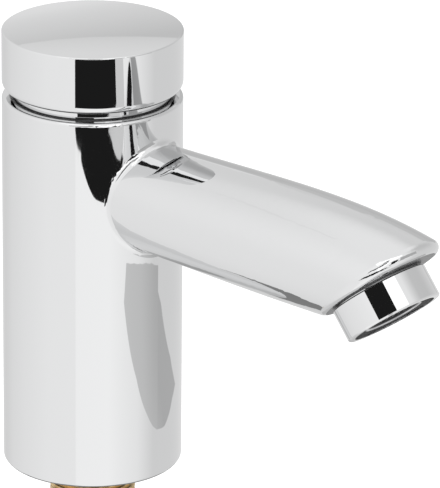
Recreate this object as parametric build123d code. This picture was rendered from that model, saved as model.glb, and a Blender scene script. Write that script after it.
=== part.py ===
from build123d import *
import os
from math import cos, pi, radians, sin, sqrt

# Push-button timed pillar tap with a fixed spout.
# Millimetres, +Z up, spout along +X, origin on the tap's axis at the deck's surface.

# Clearances, small edges and cutters
slip = 0.05           # radial clearance between parts pushed or screwed together
run = 0.08            # radial clearance between parts that slide
edge_s = 0.5          # small chamfer on turned parts
overrun = 2.0         # how far a cutter passes the face that it opens
tiny = 0.01           # tolerance for finding an edge by its place
full_turn = 360.0

# Barrel of the body casting
barrel_d = 50.0
body_h = 107.4
body_edge_r = 1.0
base_edge_r = 1.1
skirt_wall = 3.5      # wall of the hollow lower part
floor_t = 8.0         # wall between the hollow lower part and the cartridge chamber
boss_wall = 4.5       # wall of the boss under it, round the shank's thread
boss_share = 0.5      # height of that boss as a share of the height below the cartridge
shank_recess = 2.0    # threaded hole past the shank's end, for the filter's flange and seal

# Cartridge chamber, from the top of the body down
cylinder_share = 0.5  # bore of the timing cylinder as a share of the barrel's diameter
nut_depth = 13.4
seal_land_h = 8.0
seal_land_step = 2.0  # radial step from the lower bore to the upper one
gallery_wall = 5.0    # wall of the body round the water space
sleeve_len = 52.0
spigot_step = 0.7     # radial step from the sleeve to the lower bore
spigot_land_h = 16.0
passage_step = 3.0    # radial step from the shank's thread to the passage above it

# Spout
outlet_wall = 4.2     # wall of the spout's end round the aerator's thread
spout_drop = 24.0     # spout axis below the top of the body
spout_wall = 3.0
root_fillet_r = 2.0
nose_r = 2.2          # rounding of the spout's end
duct_d = 15.0         # mouth of the spout's waterway in the gallery
duct_drop = 8.4       # how far the mouth lies below the spout's axis
# Sections along the spout: place as a share of the reach, the others as shares of the half width
station_shares = (0.0, 0.36, 0.72, 0.92, 1.12)
width_shares = (0.907, 0.944, 0.988, 0.998, 1.0)
top_shares = (0.929, 0.938, 0.972, 0.884, 0.590)
bottom_shares = (0.920, 0.957, 0.981, 0.960, 0.920)

# Outlet: the aerator's mouth, its tilt from straight down and its pieces
outlet_reach = 110.6
outlet_z = 71.6
outlet_tilt = 39.5
nozzle_flange = 1.6   # how far the ring stands out past its thread
nozzle_len = 9.8
nozzle_gap = 0.6      # shadow gap between the aerator and the spout's end face
nozzle_edge = 0.35
mouth_wall = 1.55     # wall round the insert's flange
mouth_depth = 3.5
lip_w = 0.3           # inward lip that the insert snaps behind
lip_t = 0.9
waist_wall = 1.4      # wall of the housing inside its thread
aerator_thread_d = 24.0
aerator_thread_len = 7.0
aerator_bore_depth = 9.0
aerator_step_t = 1.5
aerator_seal_w = 2.5
insert_ledge = 0.8
insert_floor_t = 1.6
insert_spray_h = 2.0  # room between the insert's floor and the outlet grid
insert_rise = 2.0     # from the insert's top to the top of the housing
insert_hole_d = 2.2
insert_circle_share = 0.67
insert_hole_count = 8
grid_share = 0.69     # outside of the grid's rim as a share of the aerator's thread
grid_t = 1.6
grid_rise = 0.3       # how far its rim stands out of the insert
grid_rim_w = 0.4
grid_bevel = 0.6
grid_cell = 1.7       # across the flats of a honeycomb cell
grid_web = 0.35
grid_rings = 3
strainer_t = 0.7
strainer_rise = 1.6
strainer_hole_d = 1.6
strainer_outer_share = 0.76
strainer_outer_count = 12
strainer_inner_share = 0.38
strainer_inner_count = 6
regulator_wall = 3.1  # from the regulator's rim to the housing's bore
regulator_t = 3.2
regulator_slot_w = 1.8
regulator_slot_depth = 2.0
regulator_slot_count = 6

# Push cap
cap_h = 16.5
press_stroke = 2.0
stop_gap = 0.3        # from the pressed cap to the body
cap_wall = 2.5
cap_top_t = 3.0
cap_dome = 0.3
cap_dome_mid_share = 0.75  # height of the dome half way out, as a share of its height
cap_rim_r = 2.2
cap_edge_r = 0.4
cap_boss_d = 13.0
cap_boss_h = 5.7

# Head nut, which closes the chamber and guides the cap and the spindle
neck_gap = 0.6        # from the neck to the cap's bore
neck_h = 10.0
neck_flange = 2.9     # how far the neck stands out past the nut's thread
neck_wall = 5.4
neck_relief_w = 0.9   # shadow groove at the foot of the neck
neck_relief_h = 0.45
nut_floor_t = 6.0
guide_boss_d = 17.0
guide_boss_h = 3.8    # height of the guide boss above the body's top face
guide_bore_d = 11.0
guide_floor_t = 3.0
notch_w = 6.0
notch_depth = 3.0
notch_count = 4
head_ring_d = 1.8
guide_ring_h = 3.0
guide_ring_groove = 1.0
guide_ring_top = 1.5  # from the ring to the top of the neck
guide_ring_slit = 1.2

# Spindle and its guide
spindle_d = 6.0
spindle_end_d = 5.0
spindle_ring_d = 2.4
circlip_t = 1.0
circlip_w = 1.5       # radial width of the circlip
circlip_bite = 0.5    # how deep it sits in its groove
circlip_top = 0.8     # from its groove to the top of the guide boss
circlip_opening = 3.0
lock_nut_af = 8.0
lock_nut_h = 3.0
spindle_grip = 4.5    # length of the spindle's end inside the cap's boss

# Cartridge
sleeve_wall = 1.3
seat_ledge = 1.3      # ledge in the sleeve that the seat stands on
skirt_len = 12.0
seat_t = 4.0
throat_share = 0.48   # throat of the seat as a share of the cylinder's bore
seat_lip_w = 1.0
seat_lip_h = 0.8
port_w = 6.0
port_h = 14.0
port_rise = 2.4       # from the seat's top face to the ports
port_count = 6
seal_ring_d = 2.4
seat_ring_d = 1.4
piston_rest_gap = 5.0  # timing chamber above the piston at rest
piston_h = 9.0
piston_rim_t = 2.0
seal_cup_w = 3.0
seal_cup_t = 0.9
clip_t = 0.8
clip_share = 0.4
clip_root = 0.6
clip_opening = 4.0
pin_d = 1.2
pin_offset_share = 0.256
pin_tail = 2.0
spring_wire_d = 1.3
spring_share = 0.68   # mean diameter as a share of the cylinder's bore
spring_turns = 5
spring_end_pitch = 1.8
spring_end_turns = 1
spring_arc_pairs = 4    # pairs of arcs to each turn of the centre line
spring_probes = 6       # points on each arc where its gap is measured
washer_share = 0.68
valve_washer_t = 3.0
holder_wall = 1.2
holder_floor_t = 1.6
holder_lap = 1.6      # how far the holder's wall stands up round the washer
end_nut_af = 9.0
end_nut_h = 3.4

# Shank, filter and fixing below the deck
shank_thread_d = 24.0   # M24 thread, in the body above and through the deck below
engage_share = 0.7    # length of thread in the boss as a share of its height
collar_w = 2.5        # how far the collar stands out past the thread
collar_h = 3.0
fixing_len = 32.0
inlet_thread_d = 20.955  # G 1/2 thread for the supply's nut
shank_len = 52.0
inlet_bore_d = 14.0
filter_pocket_d = 15.4  # wider bore round the filter
filter_flange_t = 1.0
filter_len = 12.0
filter_d = 12.4
filter_wall = 0.7
filter_slot_w = 1.2
filter_slot_len = 6.0
filter_slot_count = 10
base_seal_t = 4.0
deck_gap = 18.0       # room left between the body and the washers for the deck
clamp_w = 7.0         # width of the washers past the thread
rubber_t = 3.0
steel_t = 1.5
backnut_af = 32.0
backnut_h = 8.0

# Places that follow from the sizes above
barrel_r = barrel_d / 2
skirt_r = barrel_r - skirt_wall
cap_bore_r = barrel_r - cap_wall
neck_r = cap_bore_r - neck_gap
neck_bore_r = neck_r - neck_wall
nut_thread_r = neck_r - neck_flange
cylinder_d = barrel_d * cylinder_share
sleeve_r = cylinder_d / 2 + sleeve_wall
spigot_bore_r = sleeve_r + spigot_step
seal_bore_r = spigot_bore_r + seal_land_step
gallery_r = barrel_r - gallery_wall
boss_r = shank_thread_d / 2 + boss_wall
passage_r = shank_thread_d / 2 - passage_step
clamp_r = shank_thread_d / 2 + clamp_w
waist_r = aerator_thread_d / 2 - waist_wall
nozzle_r = aerator_thread_d / 2 + nozzle_flange
mouth_r = nozzle_r - mouth_wall
grid_r = aerator_thread_d / 2 * grid_share
outlet_hole_r = aerator_thread_d / 2 - aerator_seal_w
regulator_r = waist_r - regulator_wall
spout_r = aerator_thread_d / 2 + outlet_wall
washer_r = cylinder_d * washer_share / 2
throat_r = cylinder_d * throat_share / 2
clip_r = cylinder_d * clip_share / 2
pin_offset = cylinder_d * pin_offset_share
spring_r = cylinder_d * spring_share / 2
nut_bottom_z = body_h - nut_depth
gallery_top_z = nut_bottom_z - seal_land_h
sleeve_bottom_z = nut_bottom_z - sleeve_len
gallery_bottom_z = sleeve_bottom_z + spigot_land_h
boss_h = sleeve_bottom_z * boss_share
boss_bottom_z = sleeve_bottom_z - boss_h
shank_top_z = boss_bottom_z + boss_h * engage_share
shank_step_z = shank_top_z + shank_recess
spout_axis_z = body_h - spout_drop
tilt = radians(outlet_tilt)
face_x = outlet_reach - nozzle_len * sin(tilt)
face_z = outlet_z + nozzle_len * cos(tilt)
outlet_plane = Plane(
    origin=(face_x, 0, face_z), x_dir=(cos(tilt), 0, sin(tilt)), z_dir=(sin(tilt), 0, -cos(tilt)),
)
cap_bottom_z = body_h + press_stroke + stop_gap
cap_top_z = cap_bottom_z + cap_h
cap_ceiling_z = cap_top_z - cap_top_t
cap_boss_z = cap_ceiling_z - cap_boss_h
neck_top_z = body_h + neck_h
guide_top_z = body_h + guide_boss_h
guide_floor_z = nut_bottom_z + guide_floor_t
lock_nut_z = cap_boss_z - lock_nut_h
seat_bottom_z = sleeve_bottom_z + skirt_len
seat_top_z = seat_bottom_z + seat_t
lip_z = seat_bottom_z - seat_lip_h
piston_top_z = nut_bottom_z - piston_rest_gap
piston_bottom_z = piston_top_z - piston_h
holder_top_z = lip_z - valve_washer_t
end_nut_z = holder_top_z - holder_floor_t - end_nut_h
steel_bottom_z = -deck_gap - rubber_t - steel_t
pocket_z = shank_top_z - filter_len - overrun
groove_w = seal_ring_d + edge_s
groove_depth = seal_ring_d - slip
spigot_ring_z = sleeve_bottom_z + skirt_len / 2
collar_ring_z = nut_bottom_z - seal_land_h / 2
head_ring_z = body_h - head_ring_d / 2 - edge_s
guide_ring_z = neck_top_z - guide_ring_top - guide_ring_h
circlip_z = guide_top_z - circlip_top - circlip_t
bush_z = guide_floor_z + spindle_ring_d + slip
shoulder_low = nozzle_len - mouth_depth
insert_low = nozzle_len - lip_t
insert_top = insert_rise - aerator_thread_len
grid_low = insert_low + grid_rise
spray_floor = grid_low - grid_t - insert_spray_h
piston_rim_r = cylinder_d / 2 - run
piston_core_r = piston_rim_r - seal_cup_w


def turned(*outline):
    """Solid turned about Z from a closed outline of (radius, height) points."""
    return revolve(make_face(Polyline(*[(r, 0, z) for r, z in outline], close=True)), Axis.Z)


def ring(outer_r, inner_r, low_z, high_z):
    """Plain ring about Z."""
    return turned((inner_r, low_z), (outer_r, low_z), (outer_r, high_z), (inner_r, high_z))


def rod(radius, low_z, high_z):
    """Plain cylinder about Z."""
    return turned((0, low_z), (radius, low_z), (radius, high_z), (0, high_z))


def around(piece, count):
    """Copies of a piece, evenly spaced about Z."""
    return [Rot(0, 0, full_turn * i / count) * piece for i in range(count)]


def hexagon_nut(across_flats, low_z, high_z, bore_r):
    """Hexagon nut about Z with chamfered corners and a plain bore."""
    corner_r = across_flats / sqrt(3)
    body = Pos(0, 0, low_z) * extrude(RegularPolygon(corner_r, 6), high_z - low_z)
    crown = corner_r - across_flats / 2
    dressed = turned(
        (0, low_z), (across_flats / 2, low_z), (corner_r, low_z + crown),
        (corner_r, high_z - crown), (across_flats / 2, high_z), (0, high_z),
    )
    return body & dressed - rod(bore_r, low_z - overrun, high_z + overrun)


def seal_ring(groove_r, bore_r, mid_z):
    """Seal ring about Z that fills the room between a groove and a bore."""
    section_r = (bore_r - groove_r) / 2
    return Pos(0, 0, mid_z) * Torus(groove_r + section_r, section_r - slip / 2)


def rim(part, radius, height):
    """Circular edges of a turned part at one radius and height."""
    circles = part.edges().filter_by(GeomType.CIRCLE)
    return [e for e in circles if abs(e.radius - radius) < tiny and abs(e.arc_center.Z - height) < tiny]


def spout_section(index, inset):
    """Ellipse across the spout at one station, drawn in by the inset."""
    top = spout_r * top_shares[index] - inset
    bottom = spout_r * bottom_shares[index] - inset
    centre = (outlet_reach * station_shares[index], 0, spout_axis_z + (top - bottom) / 2)
    section = Plane(origin=centre, x_dir=(0, 1, 0), z_dir=(1, 0, 0))
    return section * Ellipse(spout_r * width_shares[index] - inset, (top + bottom) / 2)


def spout_outside():
    """Spout as a loft through its sections, cut off square to the outlet."""
    loft_body = loft([spout_section(i, 0) for i in range(len(station_shares))])
    return split(loft_body, bisect_by=outlet_plane, keep=Keep.BOTTOM)


def spout_waterway():
    """Waterway that follows the spout inside its wall, with its mouth in the gallery."""
    inner = [spout_section(i, spout_wall) for i in range(1, len(station_shares))]
    floor_plane = outlet_plane.offset(-aerator_bore_depth - aerator_step_t)
    hollow = split(loft(inner), bisect_by=floor_plane, keep=Keep.BOTTOM)
    mouth = Plane(origin=(duct_d / 2, 0, spout_axis_z - duct_drop), x_dir=(0, 1, 0), z_dir=(1, 0, 0))
    duct = loft([mouth * Circle(duct_d / 2), spout_section(1, spout_wall)])
    thread = outlet_plane * rod(aerator_thread_d / 2, -aerator_bore_depth, overrun)
    hole = outlet_plane * rod(outlet_hole_r, -aerator_bore_depth - aerator_step_t - overrun, overrun)
    return hollow + duct + thread + hole


def barrel_outside():
    """Round barrel of the body with its rounded edges."""
    barrel = rod(barrel_r, 0, body_h)
    barrel = fillet(rim(barrel, barrel_r, body_h), body_edge_r)
    return fillet(rim(barrel, barrel_r, 0), base_edge_r)


def chamber():
    """Stepped bore for the cartridge and the passage below it."""
    shank_r = shank_thread_d / 2 + slip
    nut_r = nut_thread_r + slip
    return turned(
        (0, boss_bottom_z - overrun), (shank_r, boss_bottom_z - overrun), (shank_r, shank_step_z),
        (passage_r, shank_step_z), (passage_r, sleeve_bottom_z),
        (spigot_bore_r, sleeve_bottom_z), (spigot_bore_r, gallery_bottom_z),
        (gallery_r, gallery_bottom_z + gallery_r - spigot_bore_r),
        (gallery_r, gallery_top_z - gallery_r + seal_bore_r),
        (seal_bore_r, gallery_top_z), (seal_bore_r, nut_bottom_z),
        (nut_r, nut_bottom_z), (nut_r, body_h + overrun), (0, body_h + overrun),
    )


def skirt_hollow():
    """Hollow of the lower part round the shank's boss, open at the base."""
    top_z = sleeve_bottom_z - floor_t
    return turned(
        (0, -overrun), (skirt_r, -overrun), (skirt_r, top_z), (boss_r, top_z),
        (boss_r, boss_bottom_z), (0, boss_bottom_z),
    )


def body_casting():
    """Cast body: barrel and spout in one piece, with its chamber and waterway."""
    barrel = barrel_outside()
    spout = spout_outside()
    body = barrel + spout
    body = fillet(new_edges(barrel, spout, combined=body), root_fillet_r)
    ends = body.faces().filter_by(Axis(outlet_plane.origin, outlet_plane.z_dir))
    end_face = ends.sort_by(lambda face: (face.center() - outlet_plane.origin).length)[0]
    body = fillet(end_face.edges(), nose_r)
    return body - spout_waterway() - chamber() - skirt_hollow()


def shank():
    """Hollow shank: thread for the body and the deck, collar, and the thread for the supply."""
    thread_r = shank_thread_d / 2
    inlet_r = inlet_thread_d / 2
    bore_r = inlet_bore_d / 2
    pocket_r = filter_pocket_d / 2
    collar_z = boss_bottom_z - collar_h
    collar_r = thread_r + collar_w
    return turned(
        (bore_r, -shank_len), (inlet_r - edge_s, -shank_len), (inlet_r, -shank_len + edge_s),
        (inlet_r, -fixing_len), (thread_r - edge_s, -fixing_len), (thread_r, -fixing_len + edge_s),
        (thread_r, collar_z), (collar_r, collar_z),
        (collar_r, boss_bottom_z), (thread_r, boss_bottom_z),
        (thread_r, shank_top_z - edge_s), (thread_r - edge_s, shank_top_z), (pocket_r, shank_top_z),
        (pocket_r, pocket_z), (bore_r, pocket_z),
    )


def inlet_filter():
    """Strainer thimble in the shank's upper end, with slots round its wall."""
    flange_r = shank_thread_d / 2 - slip
    outer_r = filter_d / 2
    inner_r = outer_r - filter_wall
    low_z = shank_top_z - filter_len
    flange_z = shank_top_z + filter_flange_t
    cup = turned(
        (0, low_z), (outer_r, low_z), (outer_r, shank_top_z), (flange_r, shank_top_z),
        (flange_r, flange_z), (inner_r, flange_z), (inner_r, low_z + filter_wall), (0, low_z + filter_wall),
    )
    slot = Box(filter_wall + overrun, filter_slot_w, filter_slot_len)
    return cup - around(Pos(outer_r, 0, shank_top_z - filter_len / 2) * slot, filter_slot_count)


def shank_seal():
    """Flat seal between the filter's flange and the step above it."""
    return ring(shank_thread_d / 2 - slip, passage_r, shank_top_z + filter_flange_t, shank_step_z)


def base_seal():
    """Rubber seal that closes the open base round the shank, flush with the deck face."""
    outer_r = skirt_r - slip
    inner_r = shank_thread_d / 2 + slip
    return turned(
        (inner_r, 0), (outer_r, 0), (outer_r, base_seal_t), (outer_r - edge_s, base_seal_t),
        (outer_r - edge_s, base_seal_t / 2), (inner_r, base_seal_t / 2),
    )


def clamp_rubber():
    """Rubber washer below the deck."""
    return ring(clamp_r, shank_thread_d / 2 + slip, -deck_gap - rubber_t, -deck_gap)


def clamp_plate():
    """Steel washer below the rubber one."""
    return ring(clamp_r, shank_thread_d / 2 + slip, steel_bottom_z, steel_bottom_z + steel_t)


def backnut():
    """Hexagon backnut that pulls the tap down on the deck."""
    return hexagon_nut(backnut_af, steel_bottom_z - backnut_h, steel_bottom_z, shank_thread_d / 2 + slip)


def ring_cutter(outer_r, depth, mid_z, width):
    """Cutter for a rectangular groove round the outside of a turned part."""
    return ring(outer_r + overrun, outer_r - depth, mid_z - width / 2, mid_z + width / 2)


def cartridge_sleeve():
    """Cartridge's outer sleeve: skirt, water ports and the timing cylinder."""
    spigot_r = spigot_bore_r - slip
    collar_r = seal_bore_r - slip
    outer_r = sleeve_r
    cylinder_r = cylinder_d / 2
    skirt_bore_r = cylinder_r - seat_ledge
    spigot_top_z = gallery_bottom_z - edge_s
    collar_z = gallery_top_z + edge_s
    body = turned(
        (skirt_bore_r, sleeve_bottom_z), (spigot_r, sleeve_bottom_z), (spigot_r, spigot_top_z),
        (outer_r, spigot_top_z), (outer_r, collar_z), (collar_r, collar_z), (collar_r, nut_bottom_z),
        (cylinder_r, nut_bottom_z), (cylinder_r, seat_bottom_z), (skirt_bore_r, seat_bottom_z),
    )
    port_z = seat_top_z + port_rise + port_h / 2
    ports = around(Pos(outer_r, 0, port_z) * Box(outer_r, port_w, port_h), port_count)
    lower = ring_cutter(spigot_r, groove_depth, spigot_ring_z, groove_w)
    upper = ring_cutter(collar_r, groove_depth, collar_ring_z, groove_w)
    return body - ports - lower - upper


def spigot_ring():
    """Seal ring low on the sleeve."""
    return seal_ring(spigot_bore_r - seal_ring_d, spigot_bore_r, spigot_ring_z)


def collar_ring():
    """Seal ring high on the sleeve."""
    return seal_ring(seal_bore_r - seal_ring_d, seal_bore_r, collar_ring_z)


def valve_seat():
    """Seat disc with its sealing lip on the underside and a groove round it."""
    outer_r = cylinder_d / 2 - slip
    lip_r = throat_r + seat_lip_w
    disc = turned(
        (throat_r, lip_z), (lip_r, lip_z), (lip_r, seat_bottom_z), (outer_r, seat_bottom_z),
        (outer_r, seat_top_z), (throat_r, seat_top_z),
    )
    return disc - ring_cutter(outer_r, seat_ring_d - slip, seat_bottom_z + seat_t / 2, seat_ring_d + edge_s)


def seat_ring():
    """Seal ring round the valve seat."""
    return seal_ring(cylinder_d / 2 - seat_ring_d, cylinder_d / 2, seat_bottom_z + seat_t / 2)


def spring_nodes():
    """Points on the spring's centre line, each with its direction, at equal turns."""
    low = seat_top_z + spring_wire_d / 2
    high = piston_bottom_z - spring_wire_d / 2
    end_turns = [spring_end_pitch] * spring_end_turns
    open_pitch = (high - low - 2 * spring_end_turns * spring_end_pitch) / spring_turns
    pitches = end_turns + [open_pitch] * spring_turns + end_turns
    count = len(pitches) * spring_arc_pairs
    height = low
    nodes = []
    for k in range(count + 1):
        turn = 2 * pi * k / spring_arc_pairs
        before = pitches[max(k - 1, 0) // spring_arc_pairs]
        after = pitches[min(k, count - 1) // spring_arc_pairs]
        rise = (before + after) / 2 / (2 * pi * spring_r)
        place = Vector(spring_r * cos(turn), spring_r * sin(turn), height)
        nodes.append((place, Vector(-sin(turn), cos(turn), rise).normalized()))
        height += after / spring_arc_pairs
    return nodes


def tangent_arcs(nodes):
    """Pairs of arcs that join the points and keep their directions."""
    arcs = []
    for (start, leave), (end, arrive) in zip(nodes, nodes[1:]):
        chord = end - start
        lean = chord.dot(leave + arrive)
        spread = 2 * (1 - leave.dot(arrive))
        reach = (sqrt(lean ** 2 + spread * chord.dot(chord)) - lean) / spread
        knee_a = start + leave * reach
        knee_b = end - arrive * reach
        middle = (knee_a + knee_b) / 2
        arcs.append(Edge.make_tangent_arc(start, leave, middle))
        arcs.append(Edge.make_tangent_arc(middle, (knee_b - knee_a).normalized(), end))
    return arcs


def least_gap(arcs):
    """Least clear gap between turns of the spring that lie half a turn or more apart."""
    points = [arc.position_at(t / spring_probes) for arc in arcs for t in range(spring_probes)]
    apart = spring_arc_pairs * spring_probes
    pairs = [(i, j) for i in range(len(points)) for j in range(i + apart, len(points))]
    return min((points[i] - points[j]).length for i, j in pairs) - spring_wire_d


def return_spring():
    """Helical return spring round the spindle, between the seat and the piston."""
    nodes = spring_nodes()
    arcs = tangent_arcs(nodes)
    start, leave = nodes[0]
    print("spring: least gap to itself", round(least_gap(arcs), 3), "mm")
    section = Plane(origin=start, z_dir=leave) * Circle(spring_wire_d / 2)
    return sweep(section, path=Wire(arcs))


def head_nut():
    """Nut that closes the chamber: threaded body, neck for the cap and guide boss."""
    thread_r = nut_thread_r
    post_r = guide_boss_d / 2
    guide_r = guide_bore_d / 2
    floor_z = nut_bottom_z + nut_floor_t
    relief_z = body_h + neck_relief_h
    hole_r = spindle_d / 2 + run
    body = turned(
        (hole_r, nut_bottom_z), (thread_r - edge_s, nut_bottom_z), (thread_r, nut_bottom_z + edge_s),
        (thread_r, body_h), (neck_r - neck_relief_w, body_h), (neck_r - neck_relief_w, relief_z),
        (neck_r, relief_z), (neck_r, neck_top_z - edge_s), (neck_r - edge_s, neck_top_z),
        (neck_bore_r, neck_top_z), (neck_bore_r, floor_z), (post_r, floor_z), (post_r, guide_top_z),
        (guide_r, guide_top_z), (guide_r, guide_floor_z), (hole_r, guide_floor_z),
    )
    body -= ring_cutter(thread_r, head_ring_d - slip, head_ring_z, head_ring_d + edge_s)
    body -= ring_cutter(neck_r, guide_ring_groove, guide_ring_z + guide_ring_h / 2, guide_ring_h)
    body -= ring(guide_r + circlip_bite, guide_r - tiny, circlip_z, circlip_z + circlip_t)
    body -= around(Pos(neck_r, 0, neck_top_z) * Box(neck_r, notch_w, 2 * notch_depth), notch_count)
    return body - Pos(pin_offset, 0, 0) * rod(pin_d / 2 + slip, nut_bottom_z - overrun, guide_floor_z)


def head_ring():
    """Seal ring under the neck, between the nut and the body."""
    bore_r = nut_thread_r + slip
    return seal_ring(bore_r - head_ring_d, bore_r, head_ring_z)


def guide_ring():
    """Split plastic ring in the neck's groove, on which the cap's bore slides."""
    inner_r = neck_r - guide_ring_groove + slip
    outer_r = cap_bore_r - run
    band = ring(outer_r, inner_r, guide_ring_z, guide_ring_z + guide_ring_h)
    slit_z = guide_ring_z + guide_ring_h / 2
    return band - Pos(-outer_r, 0, slit_z) * Box(outer_r, guide_ring_slit, guide_ring_h + overrun)


def spindle_ring():
    """Seal ring round the spindle, below the bush."""
    inner_r = spindle_d / 2 + slip
    outer_r = guide_bore_d / 2
    mid_r = (inner_r + outer_r) / 2
    return Pos(0, 0, guide_floor_z + spindle_ring_d / 2) * Torus(mid_r, (outer_r - inner_r) / 2 - slip)


def guide_bush():
    """Plastic bush that guides the spindle."""
    return ring(guide_bore_d / 2 - slip, spindle_d / 2 + run, bush_z, circlip_z - slip)


def bush_circlip():
    """Inner circlip that holds the bush in the guide boss."""
    outer_r = guide_bore_d / 2 + circlip_bite - slip
    band = ring(outer_r, outer_r - circlip_w, circlip_z, circlip_z + circlip_t)
    opening = Box(outer_r, circlip_opening, circlip_t + overrun)
    return band - Pos(outer_r, 0, circlip_z + circlip_t / 2) * opening


def metering_pin():
    """Thin pin fixed in the head nut, which keeps the piston's timing hole clear."""
    return Pos(pin_offset, 0, 0) * rod(pin_d / 2, piston_bottom_z - pin_tail, guide_floor_z)


def push_cap():
    """Chromed push cap: slightly domed top, rounded rims, bore and threaded boss."""
    boss_r = cap_boss_d / 2
    hole_r = spindle_end_d / 2 + slip
    hole_top = cap_boss_z + spindle_grip + slip
    edge = (barrel_r, 0, cap_top_z)
    middle = (barrel_r / 2, 0, cap_top_z + cap_dome * cap_dome_mid_share)
    crown = (0, 0, cap_top_z + cap_dome)
    inside = Polyline(
        crown, (0, 0, hole_top), (hole_r, 0, hole_top), (hole_r, 0, cap_boss_z), (boss_r, 0, cap_boss_z),
        (boss_r, 0, cap_ceiling_z), (cap_bore_r, 0, cap_ceiling_z), (cap_bore_r, 0, cap_bottom_z),
        (barrel_r, 0, cap_bottom_z), edge,
    )
    cap = revolve(make_face([*inside.edges(), ThreePointArc(edge, middle, crown)]), Axis.Z)
    cap = fillet(rim(cap, barrel_r, cap_top_z), cap_edge_r)
    return fillet(rim(cap, barrel_r, cap_bottom_z), cap_rim_r)


def cap_lock_nut():
    """Nut that locks the cap on the spindle."""
    return hexagon_nut(lock_nut_af, lock_nut_z, cap_boss_z, spindle_end_d / 2 + slip)


def spindle():
    """Steel spindle from the cap to the valve, with grooves for the piston's clips."""
    main_r = spindle_d / 2
    end_r = spindle_end_d / 2
    low_z = end_nut_z - 2 * edge_s
    top_z = cap_boss_z + spindle_grip
    body = turned(
        (0, low_z), (end_r - edge_s, low_z), (end_r, low_z + edge_s), (end_r, holder_top_z),
        (main_r, holder_top_z), (main_r, lock_nut_z), (end_r, lock_nut_z), (end_r, top_z), (0, top_z),
    )
    body -= ring_cutter(main_r, clip_root, piston_bottom_z - clip_t / 2, clip_t)
    return body - ring_cutter(main_r, clip_root, piston_top_z + clip_t / 2, clip_t)


def piston():
    """Timing piston with a groove for its cup seal and the metering hole."""
    bore_r = spindle_d / 2 + slip
    groove_low = piston_bottom_z + piston_rim_t
    groove_high = piston_top_z - piston_rim_t
    body = turned(
        (bore_r, piston_bottom_z), (piston_rim_r, piston_bottom_z), (piston_rim_r, groove_low),
        (piston_core_r, groove_low), (piston_core_r, groove_high), (piston_rim_r, groove_high),
        (piston_rim_r, piston_top_z), (bore_r, piston_top_z),
    )
    hole = rod(pin_d / 2 + run, piston_bottom_z - overrun, piston_top_z + overrun)
    return body - Pos(pin_offset, 0, 0) * hole


def piston_cup():
    """Rubber cup seal in the piston's groove, open towards the timing chamber."""
    low = piston_bottom_z + piston_rim_t
    high = piston_top_z - piston_rim_t
    inner_r = piston_core_r
    outer_r = piston_rim_r
    return turned(
        (inner_r, low), (outer_r - seal_cup_t / 2, low), (outer_r, low + seal_cup_t), (outer_r, high),
        (outer_r - seal_cup_t, high), (outer_r - seal_cup_t, low + seal_cup_t),
        (inner_r + seal_cup_t, low + seal_cup_t), (inner_r + seal_cup_t, high), (inner_r, high),
    )


def piston_clips():
    """Two open clips on the spindle, above and below the piston."""
    band = ring(clip_r, spindle_d / 2 - clip_root + slip, 0, clip_t)
    clip = band - Pos(-clip_r, 0, clip_t / 2) * Box(2 * clip_r, clip_opening, clip_t + overrun)
    return Compound([Pos(0, 0, piston_bottom_z - clip_t) * clip, Pos(0, 0, piston_top_z) * clip])


def valve_washer():
    """Rubber washer that closes against the seat's lip."""
    return ring(washer_r, spindle_d / 2 + slip, holder_top_z, lip_z)


def valve_holder():
    """Cup that carries the valve washer on the spindle's lower end."""
    inner_r = washer_r + slip
    outer_r = inner_r + holder_wall
    low = holder_top_z - holder_floor_t
    bore_r = spindle_end_d / 2 + slip
    return turned(
        (bore_r, low), (outer_r - edge_s, low), (outer_r, low + edge_s), (outer_r, holder_top_z + holder_lap),
        (inner_r, holder_top_z + holder_lap), (inner_r, holder_top_z), (bore_r, holder_top_z),
    )


def valve_nut():
    """Nut below the valve holder."""
    return hexagon_nut(end_nut_af, end_nut_z, end_nut_z + end_nut_h, spindle_end_d / 2 + slip)


def aerator_housing():
    """Chromed outlet ring with its thread, mouth and inward lip."""
    thread_r = aerator_thread_d / 2 - slip
    lip_r = mouth_r - lip_w
    edge = nozzle_edge
    body = turned(
        (waist_r, -aerator_thread_len), (thread_r, -aerator_thread_len), (thread_r, nozzle_gap),
        (nozzle_r - edge, nozzle_gap), (nozzle_r, nozzle_gap + edge), (nozzle_r, nozzle_len - edge),
        (nozzle_r - edge, nozzle_len), (lip_r, nozzle_len), (lip_r, insert_low), (mouth_r, insert_low),
        (mouth_r, shoulder_low), (waist_r, shoulder_low),
    )
    return outlet_plane * body


def aerator_seal():
    """Rubber washer between the housing and the step in the spout."""
    thread_r = aerator_thread_d / 2 - slip
    return outlet_plane * ring(thread_r, outlet_hole_r + slip, -aerator_bore_depth, -aerator_thread_len)


def aerator_insert():
    """Plastic insert: cup for the regulator, spray floor, flange and seat for the grid."""
    outer_r = waist_r - slip
    flange_r = mouth_r - slip
    seat_r = grid_r + slip
    spray_r = grid_r - insert_ledge
    cup_r = regulator_r + slip
    body = turned(
        (0, spray_floor - insert_floor_t), (cup_r, spray_floor - insert_floor_t), (cup_r, insert_top),
        (outer_r, insert_top), (outer_r, shoulder_low), (flange_r, shoulder_low), (flange_r, insert_low),
        (seat_r, insert_low), (seat_r, grid_low - grid_t), (spray_r, grid_low - grid_t),
        (spray_r, spray_floor), (0, spray_floor),
    )
    hole = rod(insert_hole_d / 2, spray_floor - insert_floor_t - overrun, spray_floor + overrun)
    holes = around(Pos(regulator_r * insert_circle_share, 0, 0) * hole, insert_hole_count)
    return outlet_plane * (body - holes)


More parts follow.
